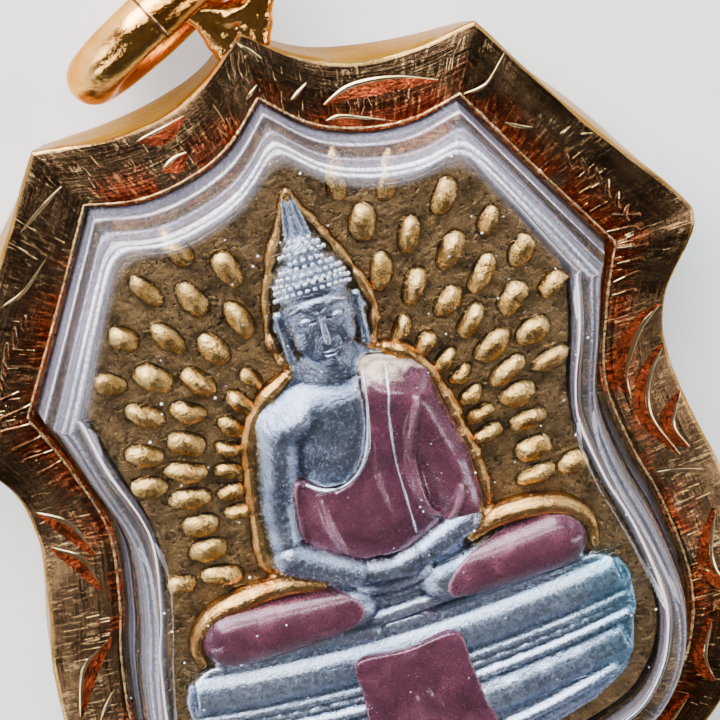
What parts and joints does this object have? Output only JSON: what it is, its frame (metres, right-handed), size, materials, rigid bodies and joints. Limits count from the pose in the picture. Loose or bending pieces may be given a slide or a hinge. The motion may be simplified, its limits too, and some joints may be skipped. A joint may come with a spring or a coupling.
{
  "type": "pendant",
  "caption": "Gold cased folk amulet pendant with a clear front over a silver and plum enamel seated Buddha relief, and a loose jump ring.",
  "frame": {"origin": "middle of the case's flat back face, half way between the window's apex and foot", "axes": "+Z out of the front, +Y toward the head and the ring, +X to the viewer's right"},
  "size_m": [0.0338, 0.0484, 0.0086],
  "materials": {
    "case_gold": "polished dark gold, engraved",
    "lens_clear": "clear polished",
    "ground_gold": "matt gold",
    "silver": "bluish silver, satin",
    "plum_enamel": "glossy enamel",
    "ring_gold": "polished gold"
  },
  "bodies": {
    "pendant": {"frame": "case_gold", "front_lens": "lens_clear", "medal": "ground_gold", "buddha_figure": "silver", "robe_enamel": "plum_enamel", "knee_enamel_left": "plum_enamel", "knee_enamel_right": "plum_enamel", "throne": "silver", "cloth_enamel": "plum_enamel", "back_plate": "case_gold"},
    "ring": {"ring": "ring_gold"}
  },
  "joints": [
    {"name": "ring_swing", "type": "hinge", "parent": "pendant", "child": "ring", "pos_m": [0, 0.02415, 0.00367], "axis": [0, 0, 1], "range_deg": [-200, 0]}
  ]
}
